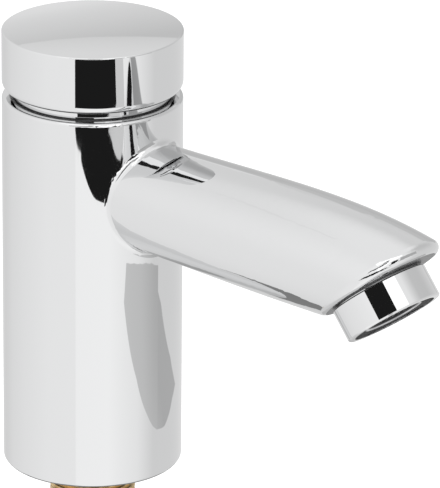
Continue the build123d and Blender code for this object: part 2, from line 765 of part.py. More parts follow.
def aerator_grid():
    """Honeycomb grid at the outlet, in a bevelled rim."""
    pitch = grid_cell + grid_web
    rim_r = grid_r - grid_rim_w
    face_z = grid_low - grid_bevel
    plate = turned(
        (0, grid_low - grid_t), (grid_r, grid_low - grid_t), (grid_r, grid_low), (rim_r, grid_low),
        (rim_r - grid_bevel, face_z), (0, face_z),
    )
    cell = extrude(RegularPolygon(grid_cell / sqrt(3), 6), grid_t + 2 * overrun)
    cells = []
    for i in range(-grid_rings, grid_rings + 1):
        for j in range(-grid_rings, grid_rings + 1):
            if abs(i + j) <= grid_rings:
                place = Pos(pitch * i * sqrt(3) / 2, pitch * (j + i / 2), grid_low - grid_t - overrun)
                cells.append(place * cell)
    return outlet_plane * (plate - cells)


def aerator_strainer():
    """Conical strainer on top of the insert."""
    rim_r = outlet_hole_r - slip
    land_r = regulator_r + slip
    low = insert_top
    high = low - strainer_t
    cone = turned(
        (rim_r, low), (rim_r, high), (land_r, high), (0, high - strainer_rise),
        (0, low - strainer_rise), (land_r, low),
    )
    hole = rod(strainer_hole_d / 2, high - strainer_rise - overrun, low + overrun)
    outer = around(Pos(regulator_r * strainer_outer_share, 0, 0) * hole, strainer_outer_count)
    inner = around(Pos(regulator_r * strainer_inner_share, 0, 0) * hole, strainer_inner_count)
    return outlet_plane * (cone - outer - inner)


def flow_regulator():
    """Flow regulator disc with slots round its rim, seated on the insert's floor."""
    seat = spray_floor - insert_floor_t
    disc = rod(regulator_r, seat - regulator_t, seat)
    slot = Box(2 * regulator_slot_depth, regulator_slot_w, regulator_t + overrun)
    slots = around(Pos(regulator_r, 0, seat - regulator_t / 2) * slot, regulator_slot_count)
    return outlet_plane * (disc - slots)


pieces = [
    body_casting, shank, inlet_filter, shank_seal, base_seal, clamp_rubber, clamp_plate, backnut,
    cartridge_sleeve, spigot_ring, collar_ring, valve_seat, seat_ring, return_spring, head_nut, head_ring,
    guide_ring, spindle_ring, guide_bush, bush_circlip, metering_pin, push_cap, cap_lock_nut, spindle,
    piston, piston_cup, piston_clips, valve_washer, valve_holder, valve_nut, aerator_housing, aerator_seal,
    aerator_insert, aerator_grid, aerator_strainer, flow_regulator,
]

os.makedirs("parts", exist_ok=True)
for piece in pieces:
    export_step(piece(), "parts/" + piece.__name__ + ".step")
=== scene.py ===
"""Push timed tap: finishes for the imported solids, threads, spring and cap, a plain studio and a camera."""

import logging
import math
from collections.abc import Callable, Iterable, Sequence
from dataclasses import dataclass
from enum import Enum
from functools import partial

import bpy
from mathutils import Matrix, Vector


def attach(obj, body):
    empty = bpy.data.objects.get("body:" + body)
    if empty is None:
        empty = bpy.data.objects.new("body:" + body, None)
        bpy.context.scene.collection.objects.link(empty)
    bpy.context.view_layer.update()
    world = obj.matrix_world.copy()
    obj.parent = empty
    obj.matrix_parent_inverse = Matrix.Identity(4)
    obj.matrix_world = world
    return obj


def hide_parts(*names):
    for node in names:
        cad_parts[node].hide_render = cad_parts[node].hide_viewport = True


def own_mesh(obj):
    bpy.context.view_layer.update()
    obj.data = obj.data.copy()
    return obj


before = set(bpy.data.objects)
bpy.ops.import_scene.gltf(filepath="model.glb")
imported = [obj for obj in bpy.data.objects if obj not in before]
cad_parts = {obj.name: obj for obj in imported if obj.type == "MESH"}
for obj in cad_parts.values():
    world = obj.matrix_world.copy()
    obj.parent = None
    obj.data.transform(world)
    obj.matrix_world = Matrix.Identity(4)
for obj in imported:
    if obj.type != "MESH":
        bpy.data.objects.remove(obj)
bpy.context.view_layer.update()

MM = 0.001
SHARP_ANGLE = math.radians(32)
LOG = logging.getLogger("tap")

# Middle of the outlet's ring, and the way that the water leaves it.
OUTLET_POINT = (109.2 * MM, 0.0, 73.3 * MM)
OUTLET_TILT = math.radians(39.5)
OUTLET_AXIS = (math.sin(OUTLET_TILT), 0.0, -math.cos(OUTLET_TILT))

# Level directions towards the camera and to its right.
CAMERA_SIDE = (0.69352, -0.72044, 0.0)
CAMERA_RIGHT = (-CAMERA_SIDE[1], CAMERA_SIDE[0], 0.0)
UP = (0.0, 0.0, 1.0)

# Brightness of dark surroundings, and the colour of all lights.
DARK = 0.012
WHITE = (1.0, 1.0, 1.0, 1.0)

# The colour sockets of a Mix node by number, because several of its sockets share a name.
MIX_FACTOR, MIX_FIRST, MIX_SECOND, MIX_RESULT = 0, 6, 7, 2

# The two nodes that give light.
EMISSION = "ShaderNodeEmission"
BACKGROUND = "ShaderNodeBackground"

Colour = tuple[float, float, float]
Point = tuple[float, float, float]
Edge = tuple[float, float]
Pairs = tuple[Edge, ...]
Wall = list[tuple[float, "Thread | float"]]


class Body(Enum):
    """Rigid bodies of the tap that pieces ride on."""

    TAP = "tap_body"
    BUTTON = "push_button"


class Value:
    """A shader socket whose arithmetic adds Math nodes."""

    def __init__(self, nodes: "Nodes", socket: bpy.types.NodeSocket) -> None:
        """Wrap an output socket of a tree."""
        self.nodes = nodes
        self.socket = socket

    def _math(self, operation: str, *operands: "Value | float") -> "Value":
        """Output of a new Math node, given its inputs in order."""
        return self.nodes.add("ShaderNodeMath", {"operation": operation}, dict(enumerate(operands)))

    def _vector(self, operation: str, output: str, *operands: "Value | Sequence[float]") -> "Value":
        """Named output of a new Vector Math node, given its inputs in order."""
        inputs = dict(enumerate(operands))
        return self.nodes.add("ShaderNodeVectorMath", {"operation": operation}, inputs, output)

    def __add__(self, other: "Value | float") -> "Value":
        """Sum of two values."""
        return self._math("ADD", self, other)

    def __radd__(self, other: float) -> "Value":
        """Sum with the number on the left."""
        return self._math("ADD", other, self)

    def __sub__(self, other: "Value | float") -> "Value":
        """Difference of two values."""
        return self._math("SUBTRACT", self, other)

    def __rsub__(self, other: float) -> "Value":
        """Difference with the number on the left."""
        return self._math("SUBTRACT", other, self)

    def __mul__(self, other: "Value | float") -> "Value":
        """Product of two values."""
        return self._math("MULTIPLY", self, other)

    def __rmul__(self, other: float) -> "Value":
        """Product with the number on the left."""
        return self._math("MULTIPLY", other, self)

    def __truediv__(self, other: "Value | float") -> "Value":
        """Quotient of two values."""
        return self._math("DIVIDE", self, other)

    def __rtruediv__(self, other: float) -> "Value":
        """Quotient with the number on top."""
        return self._math("DIVIDE", other, self)

    def sine(self) -> "Value":
        """Sine of the value in radians."""
        return self._math("SINE", self)

    def bearing(self, beside: "Value") -> "Value":
        """Angle from this component towards the one beside it, as a share of a turn from 0 to 1."""
        return self._math("ARCTAN2", beside, self) / (2 * math.pi) + 0.5

    def dot(self, direction: Sequence[float]) -> "Value":
        """Component of a vector along a fixed direction."""
        return self._vector("DOT_PRODUCT", "Value", self, direction)

    def distance(self, point: Sequence[float]) -> "Value":
        """Distance of a position from a fixed point."""
        return self._vector("DISTANCE", "Value", self, point)

    def from_point(self, point: Sequence[float]) -> "Value":
        """A position as seen from a fixed point."""
        return self._vector("SUBTRACT", "Vector", self, point)

    def unit(self) -> "Value":
        """The vector at length one."""
        return self._vector("NORMALIZE", "Vector", self)

    def stretched(self, scale: Sequence[float]) -> "Value":
        """The vector with each axis multiplied."""
        return self._vector("MULTIPLY", "Vector", self, scale)

    def smooth(self, low: float, high: float) -> "Value":
        """Smooth step from 0 at or below the low value to 1 at or above the high one."""
        inputs = {"Value": self, "From Min": low, "From Max": high}
        return self.nodes.add("ShaderNodeMapRange", {"interpolation_type": "SMOOTHSTEP"}, inputs, "Result")


@dataclass(frozen=True)
class Grain:
    """Noise of one coarseness, over the object's own position.

    Attributes:
        scale: Features per metre.
        octaves: Octaves of finer noise in it.
        stretch: Factor on each axis of the position, below 1 where the features are long.
        span: Noise levels that give 0 and 1, or None for the plain noise.
    """

    scale: float
    octaves: float
    stretch: Point | None = None
    span: Edge | None = None


class Nodes:
    """A node tree that is being built."""

    def __init__(self, tree: bpy.types.NodeTree) -> None:
        """Start from an empty tree."""
        self.tree = tree
        tree.nodes.clear()

    def add(
        self,
        kind: str,
        settings: dict[str, object] | None = None,
        inputs: dict[str | int, object] | None = None,
        output: str | int = 0,
    ) -> Value:
        """Add a node, set it up and link it.

        Args:
            kind: Node type.
            settings: Its own properties, set before the inputs.
            inputs: Socket names or numbers with a value or a link for each.
            output: Name or number of the output to hand back.

        Returns:
            The chosen output.
        """
        node = self.tree.nodes.new(kind)
        for name, setting in (settings or {}).items():
            if name == "stops":
                self._set_stops(node.color_ramp, setting)
            else:
                setattr(node, name, setting)
        for name, given in (inputs or {}).items():
            if isinstance(given, Value):
                self.tree.links.new(given.socket, node.inputs[name])
            else:
                node.inputs[name].default_value = given
        return Value(self, node.outputs[output] if len(node.outputs) else node.inputs[0])

    @staticmethod
    def _set_stops(ramp: bpy.types.ColorRamp, stops: Sequence[tuple[float, float]]) -> None:
        """Give a ramp its grey stops.

        Args:
            ramp: Ramp with its two first stops.
            stops: Position and grey level of each stop, in order.
        """
        ramp.elements.remove(ramp.elements[1])
        ramp.elements[0].position = stops[0][0]
        for position, _ in stops[1:]:
            ramp.elements.new(position)
        for element, (_, grey) in zip(ramp.elements, stops):
            element.color = (grey, grey, grey, 1.0)

    def place(self) -> Value:
        """Position in the row frame, in metres."""
        return self.add("ShaderNodeTexCoord", output="Object")

    def noise(self, grain: Grain) -> Value:
        """Noise from 0 to 1.

        Args:
            grain: Coarseness, stretch and span of the noise.

        Returns:
            The noise value.
        """
        place = self.place().stretched(grain.stretch) if grain.stretch else self.place()
        inputs = {"Vector": place, "Scale": grain.scale, "Detail": grain.octaves}
        noise = self.add("ShaderNodeTexNoise", {"noise_dimensions": "3D"}, inputs, "Fac")
        return noise.smooth(*grain.span) if grain.span else noise

    def blend(self, factor: Value, first: Value | Colour, second: Value | Colour) -> Value:
        """Mix of two colours.

        Args:
            factor: 0 for the first colour and 1 for the second.
            first: A colour, linked or as linear RGB.
            second: The other colour.

        Returns:
            The mixed colour.
        """
        first, second = (given if isinstance(given, Value) else (*given, 1.0) for given in (first, second))
        inputs = {MIX_FACTOR: factor, MIX_FIRST: first, MIX_SECOND: second}
        return self.add("ShaderNodeMix", {"data_type": "RGBA"}, inputs, MIX_RESULT)

    def either(self, factor: Value | float, first: Value, second: Value) -> Value:
        """Mix of two shaders, from all first at factor 0 to all second at 1."""
        return self.add("ShaderNodeMixShader", {}, {0: factor, 1: first, 2: second})

    def ramp(self, place: Value, stops: Sequence[tuple[float, float]]) -> Value:
        """Grey level by position, from the stops of a ramp."""
        return self.add("ShaderNodeValToRGB", {"stops": stops}, {"Fac": place}, "Color")

    def glow(self, kind: str, share: Value | float, full: float) -> Value:
        """White light whose strength is a share of the full one, through a Mix Shader's factor."""
        return self.either(share, self.light(kind, 0.0), self.light(kind, full))

    def light(self, kind: str, strength: float) -> Value:
        """White light of a steady strength from a shader node."""
        return self.add(kind, {}, {"Color": WHITE, "Strength": strength})

    def bump(self, height: Value, depth: float) -> Value:
        """Normal that follows a height field, whose level 1 is the depth in metres."""
        return self.add("ShaderNodeBump", {}, {"Height": height, "Distance": depth}, "Normal")


def new_material(name: str, shader: Callable[[Nodes], Value]) -> bpy.types.Material:
    """Material of a new node tree.

    Args:
        name: Name of the material.
        shader: What adds the nodes of its shader and hands that back.

    Returns:
        The new material.
    """
    made = bpy.data.materials.new(name)
    made.use_nodes = True
    nodes = Nodes(made.node_tree)
    nodes.add("ShaderNodeOutputMaterial", {}, {"Surface": shader(nodes)})
    return made


@dataclass(frozen=True)
class Finish:
    """A surface finish: its constants, and the detail that its kind adds.

    Attributes:
        name: Name of the material.
        slot: Material slot of the record, not used here.
        colour: Base colour as linear RGB.
        metallic: 1 for bare metal and 0 for the rest.
        roughness: Middle roughness.
    """

    name: str
    slot: str
    colour: Colour
    metallic: float
    roughness: float

    def constants(self) -> dict[str, object]:
        """Sockets that are the same all over the surface."""
        return {"Metallic": self.metallic}

    def detail(self, nodes: Nodes) -> dict[str, Value]:
        """Links for the sockets that change over the surface, by name."""
        raise NotImplementedError

    def shader(self, nodes: Nodes) -> Value:
        """Shader of the finish."""
        return nodes.add("ShaderNodeBsdfPrincipled", {}, {**self.constants(), **self.detail(nodes)})

    def dress(self, obj: bpy.types.Object) -> None:
        """Put the finish on an object as its only material, which is made on first use.

        Args:
            obj: Object to dress.
        """
        made = bpy.data.materials.get(self.name) or new_material(self.name, self.shader)
        obj.data.materials.clear()
        obj.data.materials.append(made)


@dataclass(frozen=True)
class PolishedChrome(Finish):
    """Bright chrome plate over polished metal, with faint waviness, wiping haze, and painted shade darkening
    its narrow gaps.

    Attributes:
        wave: Slow waviness.
        wave_depth: Height of the waviness, in metres.
        lines: Fine polishing lines.
        line_share: Height of the lines as a share of the waviness.
        haze: Where the plate is hazy.
        haze_roughness: Roughness that the haze adds.
        painted_gap_shade: Dark colour painted into the narrow gaps as the shade that falls there.
        gap_shade_strength: How much of that painted shade the gaps show.
        gap_roughness: Roughness that the gaps add.
        face_start: Where the spout's end face starts along the outlet's axis.
        face_stop: Where it stops.
        face_r: Where it stops round the outlet.
        foot_start: Height where the foot of the neck starts.
        foot_stop: Height where it stops.
        foot_r: Where it stops round the tap's axis.
    """

    wave: Grain = Grain(38.0, 1.0)
    wave_depth: float = 0.002 * MM
    lines: Grain = Grain(900.0, 2.0, (1.0, 1.0, 0.15))
    line_share: float = 0.01
    haze: Grain = Grain(55.0, 4.0, span=(0.45, 0.75))
    haze_roughness: float = 0.03
    # Painted shade: dark colour that stands in for the shade in the narrow gaps.
    painted_gap_shade: Colour = (0.05, 0.05, 0.052)
    gap_shade_strength: float = 0.8
    gap_roughness: float = 0.4
    face_start: Edge = (-7.66 * MM, -7.62 * MM)
    face_stop: Edge = (-7.35 * MM, -7.25 * MM)
    face_r: Edge = (20.0 * MM, 20.5 * MM)
    foot_start: Edge = (107.2 * MM, 107.3 * MM)
    foot_stop: Edge = (107.5 * MM, 107.6 * MM)
    foot_r: Edge = (22.7 * MM, 23.1 * MM)

    def gaps(self, nodes: Nodes) -> Value:
        """Where shade is painted: the spout's end face and the foot of the neck.

        Args:
            nodes: Tree to build in.

        Returns:
            The share of painted shade there and 0 elsewhere.
        """
        place = nodes.place()
        along = place.from_point(OUTLET_POINT).dot(OUTLET_AXIS)
        face = along.smooth(*self.face_start) * (1 - along.smooth(*self.face_stop))
        face = face * (1 - place.distance(OUTLET_POINT).smooth(*self.face_r))
        height = place.dot(UP)
        radius = place.stretched((1.0, 1.0, 0.0)).distance((0.0, 0.0, 0.0))
        foot = height.smooth(*self.foot_start) * (1 - height.smooth(*self.foot_stop))
        return (face + foot * (1 - radius.smooth(*self.foot_r))) * self.gap_shade_strength

    def detail(self, nodes: Nodes) -> dict[str, Value]:
        """Haze in the roughness, waviness and polishing lines in the normal, and painted shade in the gaps,
        which are also rougher.

        Args:
            nodes: Tree to build in.

        Returns:
            Links by socket name.
        """
        gap_shade_mask = self.gaps(nodes)
        wave = nodes.noise(self.wave) + nodes.noise(self.lines) * self.line_share
        haze = nodes.noise(self.haze)
        return {
            # Painted shade: the base colour darkens in the narrow gaps where shade falls.
            "Base Color": nodes.blend(gap_shade_mask, self.colour, self.painted_gap_shade),
            "Roughness": haze * self.haze_roughness + gap_shade_mask * self.gap_roughness + self.roughness,
            "Normal": nodes.bump(wave, self.wave_depth),
        }


@dataclass(frozen=True)
class TurnedMetal(Finish):
    """Bare turned metal with tool rings round an axis and a slight tarnish.

    Attributes:
        tarnish: Colour of the tarnish as linear RGB.
        tarnish_share: Strongest share of the tarnish.
        clouds: Where the tarnish lies.
        cloud_roughness: Roughness that the tarnish adds.
        ring_pitch: Distance between tool rings, in metres.
        ring_depth: Depth of the rings, in metres.
        ring_roughness: Roughness that the crests of the rings add.
        wobble: Noise that bends the rings.
        wobble_turn: Most that it shifts a ring, in radians of the pitch.
        grain: Fine grain between the rings.
        grain_share: Height of the grain as a share of the rings' depth.
    """

    tarnish: Colour = (0.3, 0.2, 0.1)
    tarnish_share: float = 0.35
    clouds: Grain = Grain(120.0, 5.0, span=(0.4, 0.8))
    cloud_roughness: float = 0.16
    ring_pitch: float = 0.3 * MM
    ring_depth: float = 0.004 * MM
    ring_roughness: float = 0.05
    wobble: Grain = Grain(300.0, 2.0)
    wobble_turn: float = 2.0
    grain: Grain = Grain(1500.0, 3.0)
    grain_share: float = 0.4

    def detail(self, nodes: Nodes) -> dict[str, Value]:
        """Tool rings along the axis, cloudy tarnish and uneven roughness.

        Args:
            nodes: Tree to build in.

        Returns:
            Links by socket name.
        """
        turned = nodes.place().dot((0.0, 0.0, 2 * math.pi / self.ring_pitch))
        rings = (turned + nodes.noise(self.wobble) * self.wobble_turn).sine() * 0.5 + 0.5
        cloud = nodes.noise(self.clouds)
        height = rings + nodes.noise(self.grain) * self.grain_share
        return {
            "Base Color": nodes.blend(cloud * self.tarnish_share, self.colour, self.tarnish),
            "Roughness": cloud * self.cloud_roughness + rings * self.ring_roughness + self.roughness,
            "Normal": nodes.bump(height, self.ring_depth),
        }


@dataclass(frozen=True)
class GridSteel(Finish):
    """Stainless grid of the outlet, with painted shade darkening it inside its polished rim.

    Attributes:
        shade: Colour of the shade painted inside the rim, as linear RGB.
        rim: Where the rim starts round the outlet.
        grain: Fine grain.
        grain_roughness: Roughness that the grain adds.
        grain_depth: Height of the grain, in metres.
    """

    # Painted shade: near-black colour standing in for the shade inside the outlet's mouth.
    shade: Colour = (0.05, 0.05, 0.052)
    rim: Edge = (7.6 * MM, 7.8 * MM)
    grain: Grain = Grain(1500.0, 3.0)
    grain_roughness: float = 0.2
    grain_depth: float = 0.004 * MM

    def detail(self, nodes: Nodes) -> dict[str, Value]:
        """Painted shade inside the bright rim, with uneven roughness and a fine grain.

        Args:
            nodes: Tree to build in.

        Returns:
            Links by socket name.
        """
        rim = nodes.place().distance(OUTLET_POINT).smooth(*self.rim)
        grain = nodes.noise(self.grain)
        return {
            # Painted shade inside the rim, and the steel's own colour on the rim.
            "Base Color": nodes.blend(rim, self.shade, self.colour),
            "Roughness": grain * self.grain_roughness + self.roughness,
            "Normal": nodes.bump(grain, self.grain_depth),
        }


@dataclass(frozen=True)
class Moulding(Finish):
    """Moulded rubber or plastic with pale clouds or flow marks and a fine skin.

    Attributes:
        shade: Colour of the marks as linear RGB.
        shine: How strongly the surface reflects.
        marks: Where the marks lie.
        mark_share: Strongest share of their colour.
        mark_roughness: Roughness that they add.
        skin: Grain of the skin.
        skin_roughness: Roughness that the grain adds.
        skin_depth: Height of the grain, in metres.
    """

    shade: Colour
    shine: float
    marks: Grain
    mark_share: float
    mark_roughness: float
    skin: Grain
    skin_roughness: float
    skin_depth: float

    def constants(self) -> dict[str, object]:
        """Metal share and reflection."""
        return {"Metallic": self.metallic, "Specular IOR Level": self.shine}

    def detail(self, nodes: Nodes) -> dict[str, Value]:
        """Marks in the colour, grain in the roughness and normal.

        Args:
            nodes: Tree to build in.

        Returns:
            Links by socket name.
        """
        marks = nodes.noise(self.marks)
        skin = nodes.noise(self.skin)
        return {
            "Base Color": nodes.blend(marks * self.mark_share, self.colour, self.shade),
            "Roughness": skin * self.skin_roughness + marks * self.mark_roughness + self.roughness,
            "Normal": nodes.bump(skin, self.skin_depth),
        }


@dataclass(frozen=True)
class MouldedRubber(Moulding):
    """Black rubber with a fine pebbled skin and pale bloom."""

    shade: Colour = (0.06, 0.06, 0.062)
    shine: float = 0.35
    marks: Grain = Grain(90.0, 5.0, span=(0.45, 0.8))
    mark_share: float = 1.0
    mark_roughness: float = 0.0
    skin: Grain = Grain(2600.0, 3.0)
    skin_roughness: float = 0.15
    skin_depth: float = 0.02 * MM


@dataclass(frozen=True)
class MouldedPlastic(Moulding):
    """Engineering plastic with faint flow marks and a fine spark-eroded grain."""

    shade: Colour = (0.68, 0.66, 0.62)
    shine: float = 0.5
    marks: Grain = Grain(70.0, 4.0, (1.0, 1.0, 0.3), (0.35, 0.85))
    mark_share: float = 0.25
    mark_roughness: float = 0.06
    skin: Grain = Grain(1800.0, 2.0)
    skin_roughness: float = 0.12
    skin_depth: float = 0.008 * MM


CHROME = PolishedChrome("polished_chrome", "chrome", (0.68, 0.683, 0.687), 1.0, 0.015)
BRASS = TurnedMetal("turned_brass", "brass", (0.74, 0.55, 0.29), 1.0, 0.24)
STEEL = TurnedMetal("stainless_steel", "steel", (0.56, 0.56, 0.57), 1.0, 0.26, (0.34, 0.33, 0.32), 0.3)
GRID_STEEL = GridSteel("outlet_grid_steel", "steel", (0.55, 0.55, 0.56), 1.0, 0.12)
RUBBER = MouldedRubber("black_rubber", "rubber", (0.022, 0.022, 0.024), 0.0, 0.62)
ACETAL = MouldedPlastic("white_acetal", "plastic", (0.8, 0.79, 0.76), 0.0, 0.4)
DARK_PLASTIC = MouldedPlastic(
    "dark_outlet_plastic", "dark_plastic", (0.02, 0.02, 0.021), 0.0, 0.45, (0.04, 0.04, 0.04), 0.12
)


def dress_nodes(finish: Finish, names: Iterable[str]) -> None:
    """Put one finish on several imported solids.

    Args:
        finish: Finish to use.
        names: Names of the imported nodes.
    """
    for name in names:
        finish.dress(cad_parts[name])
        LOG.info("%s dressed in %s", name, finish.name)


def ring_mesh(name: str, rings: Sequence[list[Point]], closed: bool = False) -> bpy.types.Mesh:
    """Mesh over rings of points.

    Args:
        name: Name of the mesh.
        rings: Points of each ring, in order along the wall.
        closed: True where the last ring joins the first, False where each end has a flat.

    Returns:
        The new mesh, smooth but for its sharp edges.
    """
    rows, columns = len(rings), len(rings[0])
    faces = []
    for i in range(rows if closed else rows - 1):
        here, there = i * columns, (i + 1) % rows * columns
        for j in range(columns):
            beside = (j + 1) % columns
            faces.append((here + j, here + beside, there + beside, there + j))
    if not closed:
        faces.append(tuple(range(columns))[::-1])
        faces.append(tuple(range((rows - 1) * columns, rows * columns)))
    mesh = bpy.data.meshes.new(name)
    mesh.from_pydata([point for ring in rings for point in ring], [], faces)
    mesh.polygons.foreach_set("use_smooth", [True] * len(mesh.polygons))
    mesh.update()
    mesh.set_sharp_from_angle(angle=SHARP_ANGLE)
    return mesh


def add_piece(mesh: bpy.types.Mesh, finish: Finish, body: Body, *stands_for: str) -> bpy.types.Object:
    """Put a built mesh in the scene as a piece of the tap, under the mesh's name.

    Args:
        mesh: Mesh in the row frame.
        finish: Its finish.
        body: Body that it rides on.
        stands_for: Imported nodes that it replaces.

    Returns:
        The new object.
    """
    piece = bpy.data.objects.new(mesh.name, mesh)
    bpy.context.scene.collection.objects.link(piece)
    finish.dress(piece)
    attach(piece, body.value)
    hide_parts(*stands_for)
    LOG.info("%s built: %d faces", mesh.name, len(mesh.polygons))
    return piece


@dataclass
class Thread:
    """Screw thread on a round part, which fades over one pitch at each end.

    Attributes:
        crest_r: Radius over the crests, in metres.
        pitch: Distance between crests.
        low: Lower end of the threaded stretch.
        high: Upper end of the threaded stretch.
        depth_share: Depth of the thread as a share of its pitch.
        flat_share: Flat at crest and root, each as a share of the pitch.
        rows_per_pitch: Rings of points in each pitch.
    """

    crest_r: float
    pitch: float
    low: float
    high: float
    depth_share: float = 0.56
    flat_share: float = 0.12
    rows_per_pitch: int = 8

    def radius(self, z: float, angle: float) -> float:
        """Radius of the thread's surface.

        Args:
            z: Height.
            angle: Angle round the axis in radians.

        Returns:
            The radius in metres.
        """
        phase = (z / self.pitch - angle / (2 * math.pi)) % 1.0
        flank = abs(2.0 * phase - 1.0)
        cut = min(max((flank - self.flat_share) / (1 - 2 * self.flat_share), 0.0), 1.0)
        fade = min(self.pitch, z - self.low, self.high - z) / self.pitch
        return self.crest_r - self.depth_share * self.pitch * cut * max(fade, 0.0)

    def rings(self) -> Wall:
        """Rings of a wall that carry the thread, from the lower end up."""
        count = math.ceil((self.high - self.low) / self.pitch * self.rows_per_pitch)
        return [(self.low + (self.high - self.low) * i / count, self) for i in range(count + 1)]


def turned_mesh(name: str, wall: Wall, columns: int, closed: bool = False) -> bpy.types.Mesh:
    """Mesh turned round the tap's axis.

    Args:
        name: Name of the mesh.
        wall: Height of each ring, and its radius or the thread there, in order along the wall.
        columns: Number of points in each ring.
        closed: True where the last ring joins the first, False where each end has a flat.

    Returns:
        The new mesh.
    """
    rings = []
    for z, edge in wall:
        ring = []
        for j in range(columns):
            angle = 2 * math.pi * j / columns
            radius = edge.radius(z, angle) if isinstance(edge, Thread) else edge
            ring.append((radius * math.cos(angle), radius * math.sin(angle), z))
        rings.append(ring)
    return ring_mesh(name, rings, closed)


@dataclass
class DeckFixing:
    """Shank, nut and washers that hold the tap on the deck.

    Attributes:
        columns: Points round each ring of the shank.
        bore_r: Radius of the waterway.
        pocket_r: Radius of the filter's pocket.
        pocket_z: Floor of that pocket.
        collar_r: Radius of the collar.
        collar_low: Lower face of the collar.
        collar_high: Upper face of the collar.
        top: Upper end of the shank.
        bottom: Lower end of the shank.
        step: Height where the supply's thread ends and the wider one starts.
        chamfer: Chamfer at the ends.
        supply_r: Radius over the crests of the supply's thread.
        supply_pitch: Pitch of that thread.
        fixing_r: Radius over the crests of the thread for the nut and the body.
        fixing_pitch: Pitch of that thread.
    """

    columns: int = 120
    bore_r: float = 7.0 * MM
    pocket_r: float = 7.7 * MM
    pocket_z: float = 21.7 * MM
    collar_r: float = 14.5 * MM
    collar_low: float = 18.0 * MM
    collar_high: float = 21.0 * MM
    top: float = 35.7 * MM
    bottom: float = -52.0 * MM
    step: float = -32.0 * MM
    chamfer: float = 0.5 * MM
    supply_r: float = 10.4775 * MM
    supply_pitch: float = 1.814 * MM
    fixing_r: float = 12.0 * MM
    fixing_pitch: float = 1.5 * MM

    def threads(self) -> tuple[Thread, Thread, Thread]:
        """The three threads of the shank.

        Returns:
            The threads for the supply, the backnut and the body.
        """
        supply = Thread(self.supply_r, self.supply_pitch, self.bottom + self.chamfer, self.step)
        fixing = Thread(self.fixing_r, self.fixing_pitch, self.step + self.chamfer, self.collar_low)
        engaged = Thread(self.fixing_r, self.fixing_pitch, self.collar_high, self.top - self.chamfer)
        return supply, fixing, engaged

    def profile(self) -> Wall:
        """Rings of the shank in order round its wall.

        Returns:
            Height of each ring, and its radius or the thread there.
        """
        supply, fixing, engaged = self.threads()
        rings: Wall = [(self.bottom, self.bore_r), (self.bottom, self.supply_r - self.chamfer)]
        rings += supply.rings()
        rings.append((self.step, self.fixing_r - self.chamfer))
        rings += fixing.rings()
        rings += [(self.collar_low, self.collar_r), (self.collar_high, self.collar_r)]
        rings += engaged.rings()
        rings.append((self.top, self.fixing_r - self.chamfer))
        rings += [(self.top, self.pocket_r), (self.pocket_z, self.pocket_r), (self.pocket_z, self.bore_r)]
        return rings

    def build(self) -> None:
        """Build the threaded shank, in place of the plain one, and dress the fixing."""
        shank = turned_mesh("shank_threaded", self.profile(), self.columns, closed=True)
        add_piece(shank, BRASS, Body.TAP, "shank")
        dress_nodes(BRASS, ["backnut"])
        dress_nodes(STEEL, ["clamp_plate"])
        dress_nodes(RUBBER, ["clamp_rubber", "base_seal", "shank_seal"])
        dress_nodes(ACETAL, ["inlet_filter"])


@dataclass
class UprightBody:
    """Chromed casting of barrel and spout."""

    def build(self) -> None:
        """Dress the casting."""
        dress_nodes(CHROME, ["body_casting"])


